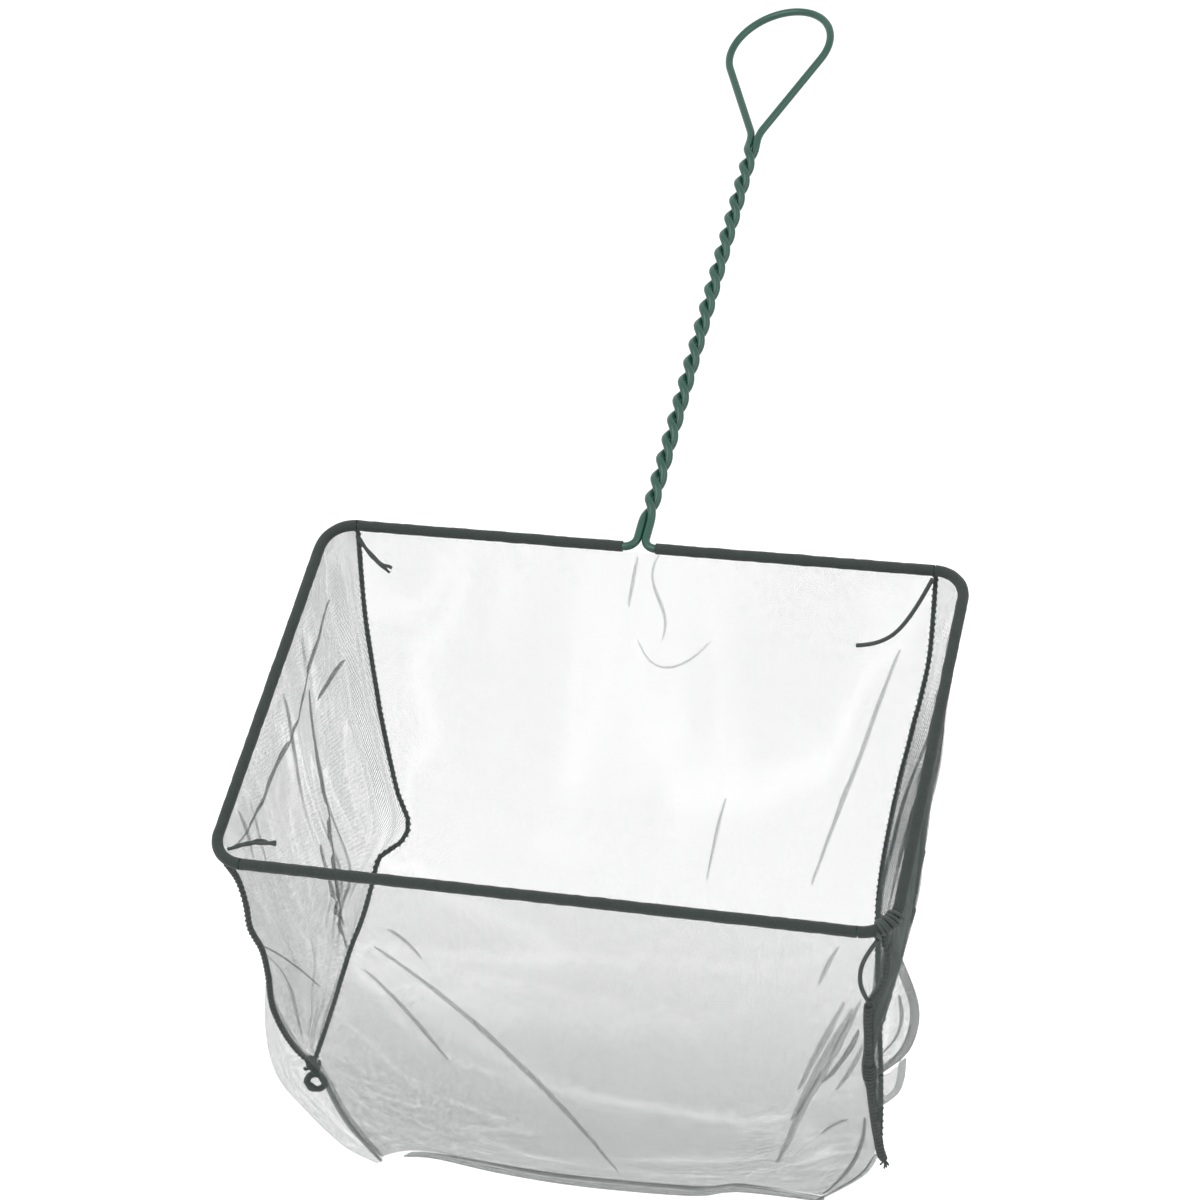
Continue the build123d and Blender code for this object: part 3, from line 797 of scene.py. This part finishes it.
def rightStitching():                       # a thick gathered seam with a lump in it and a frayed end
    line = seams["frontRight"]
    split = round(len(line) * binding["thinUntil"])
    pieces = overlocked(line[:split + 1], binding["rightTop"])
    pieces += overlocked(line[split:] + metres(binding["freeEnd"])[1:], binding["right"])
    lump = round(len(line) * binding["lumpAt"])
    pieces.append(wound("seamLump", line[lump - 2:lump + 2], 1.7, 1.6, 0.6))
    end = Vector(binding["freeEnd"][-1])
    for way in binding["hairs"]:
        bend = end + Vector(way) * 0.6 + Vector((0.4, 0, 0))
        hair = [below(*end), below(*bend), below(*(end + Vector(way)))]
        pieces.append(tubeAlong("endHair", hair, binding["hair"], 6))
        pieces[-1].data.materials.append(threadCloth)
    corner = [onRim(x, y) for x, y in arc(w, c - d, c, -62, -18, 8)]
    pieces.append(wound("cornerWhipping", corner, 2.25, 1.7, 0.65))
    pieces.append(wound("cornerWhippingOver", corner, 2.55, 2.9, 0.6))
    return pieces


def boundSeam(name, node, pieces):
    piece = joined(name, pieces)
    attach(piece, "root")
    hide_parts(node)
    return piece


seamCloth = clothFinish("seam")
threadCloth = clothFinish("thread")
leftSeam = overlocked(seams["frontLeft"], binding["left"]) + leftKnot()
bindings = {"frontLeft": boundSeam("frontLeftSeam", "front_left_seam", leftSeam),
            "frontRight": boundSeam("frontRightSeam", "front_right_seam", rightStitching()),
            "backLeft": boundSeam("backLeftSeam", "back_left_seam",
                                  overlocked(seams["backLeft"], binding["back"])),
            "backRight": boundSeam("backRightSeam", "back_right_seam",
                                   overlocked(seams["backRight"], binding["back"]))}
print("seams:", len(bindings))

# Thread tails at the seams' ends, as (in from the seam, down the panel) or in from the wires
tail = {"od": 1.6, "length": 0.042, "hang": (-73, -98), "lift": 2.2, "seam": (113, 105),
        "hairs": 4, "steps": 14, "parting": (0.4, 1.5), "thickHair": 0.42, "thinHair": 0.3,
        "backLeft": [(1, 4), (4.5, 9.5), (8.5, 13.5), (13.3, 16.5)],
        "backRight": [(0.5, 2.5), (6.5, 17.5), (16.7, 29.5), (26.6, 30.5)],
        "frontLeft": [(5.5, 5.5), (13.5, 9.5), (22.5, 10.5)],
        "frontRight": [(119.1, -69, -35.8), (114.4, -67, -44), (111.2, -64, -53.5), (110.8, -61, -63.3),
                       (112.8, -57.5, -71)]}


def onBackPanel(side, route):
    y, z = tail["hang"]
    run = hypot(y, z)
    top, low = tail["seam"]
    points = []
    for inward, drop in route:
        seamX = top + (low - top) * drop / run
        ahead = (y * drop + z * tail["lift"]) / run
        down = (z * drop - y * tail["lift"]) / run
        points.append(onRim(side * (seamX - inward), rim["depth"] / 2 + ahead, down))
    return points


def threadTail(name, node, points):
    freshStart()
    bpy.ops.curve.primitive_nurbs_path_add()
    piece = bpy.context.object
    piece.name = piece.data.name = name
    curve = piece.data
    curve.splines.clear()
    spline = curve.splines.new("NURBS")
    spline.points.add(len(points) - 1)
    for spot, place in zip(spline.points, points):
        spot.co = (*place, 1)
    spline.order_u = 3
    spline.use_endpoint_u = True
    curve.resolution_u = 12
    curve.bevel_depth = tail["od"] / 2000
    curve.bevel_resolution = 3
    curve.use_fill_caps = True
    curve.materials.append(threadCloth)
    return asTail(piece, node)


def tuft(name, node, points):               # a few hairs that part towards their ends
    hairs, steps = [], tail["steps"]
    least, more = tail["parting"]
    for k in range(tail["hairs"]):
        line = evenly(points, steps)
        for step, place in enumerate(line):
            part = least + more * step / steps
            shift = Vector([noise.noise(place * 170 + Vector((7 * k, 3 * axis, 1))) for axis in range(3)])
            line[step] = place + shift * part / 1000
        shorter = line[:steps + 1 - 2 * (k % 2)]
        hairs.append(tubeAlong("hair", shorter, tail["od"] * tail["thinHair" if k else "thickHair"], 8))
        hairs[-1].data.materials.append(threadCloth)
    return asTail(joined(name, hairs), node)


def asTail(piece, node):
    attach(piece, "root")
    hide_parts(node)
    return piece


def makeTails():
    w, d = rim["width"] / 2, rim["depth"] / 2
    corner = [onRim(x - w, y - d) for x, y in tail["frontLeft"]]
    return [tuft("backLeftTail", "back_left_thread_tail", onBackPanel(-1, tail["backLeft"])),
            threadTail("backRightTail", "back_right_thread_tail", onBackPanel(1, tail["backRight"])),
            threadTail("frontRightTail", "front_right_thread_tail", metres(tail["frontRight"])),
            tuft("frontLeftTail", "front_left_thread_tail", corner)]


tails = makeTails()
print("tails:", len(tails))

# Studio
studio = {"floor": -0.80, "size": 14, "glow": 0.45, "world": 0.75, "lampSize": 1.6,
          "key": ((-0.9, -1.3, 1.6), (0, -0.15, -0.1), 26), "fill": ((1.5, -0.6, 1.0), (0, -0.1, -0.1), 12)}


def makeStage():
    freshStart()
    bpy.ops.mesh.primitive_plane_add(size=studio["size"], location=(0, 0, 0))
    floor = bpy.context.object
    floor.name = "floor"
    for spot in floor.data.vertices:
        spot.co.z = studio["floor"]
    finish, shader, place = newFinish("paleFloor", Roughness=0.9)
    shader.inputs["Base Color"].default_value = (0.8, 0.8, 0.8, 1)
    path = place.node("ShaderNodeLightPath")
    ways = path.socket.node.outputs
    seen = path.sum("MAXIMUM", Flow(path.tree, ways["Is Camera Ray"]), Flow(path.tree, ways["Is Glossy Ray"]))
    seen = seen.sum("MAXIMUM", seen, Flow(path.tree, ways["Is Transmission Ray"]))
    shader.inputs["Emission Strength"].default_value = studio["glow"]
    feed(mixed(seen, (0, 0, 0), (1, 1, 1)), shader, "Emission Color")
    floor.data.materials.append(finish)


def areaLight(name, place, target, power):
    freshStart()
    bpy.ops.object.light_add(type="AREA", location=place)
    lamp = bpy.context.object
    lamp.name = name
    lamp.data.size = studio["lampSize"]
    lamp.data.energy = power
    lamp.rotation_euler = (Vector(target) - Vector(place)).to_track_quat("-Z", "Y").to_euler()


def makeLight():
    areaLight("keyLight", *studio["key"])
    areaLight("fillLight", *studio["fill"])
    world = bpy.data.worlds.new("studioWorld")
    bpy.context.scene.world = world
    world.use_nodes = True
    sky = world.node_tree.nodes["Background"]
    sky.inputs["Color"].default_value = (1, 1, 1, 1)
    tree = world.node_tree
    path = tree.nodes.new("ShaderNodeLightPath")
    seen = Flow(tree, path.outputs["Is Camera Ray"])
    seen = seen.sum("MAXIMUM", seen, Flow(tree, path.outputs["Is Glossy Ray"]))
    seen = seen.sum("MAXIMUM", seen, Flow(tree, path.outputs["Is Transmission Ray"]))
    strength = studio["world"] + seen * (1 - studio["world"])
    tree.links.new(strength.socket, sky.inputs["Strength"])


# Camera, fitted to the rim's corners, the root, the neck and the loop
view = {"eye": (0.3175, -1.1306, 0.5178), "ahead": (-0.272, 0.8351, -0.4782), "right": (0.959, 0.2764, -0.0629),
        "focal": 3225, "frame": 1200, "sensor": 36, "far": 60}


def makeCamera():
    ahead = Vector(view["ahead"]).normalized()
    right = Vector(view["right"])
    right = (right - ahead * right.dot(ahead)).normalized()
    freshStart()
    bpy.ops.object.camera_add()
    camera = bpy.context.object
    camera.name = "photoCamera"
    turn = Matrix((right, right.cross(ahead), -ahead)).transposed()
    camera.matrix_world = Matrix.Translation(view["eye"]) @ turn.to_4x4()
    camera.data.sensor_fit = "HORIZONTAL"
    camera.data.sensor_width = view["sensor"]
    camera.data.lens = view["sensor"] * view["focal"] / view["frame"]
    camera.data.clip_end = view["far"]
    bpy.context.scene.camera = camera


makeStage()
makeLight()
makeCamera()
scene = bpy.context.scene
scene.view_settings.view_transform = "Standard"
scene.cycles.transparent_max_bounces = 64
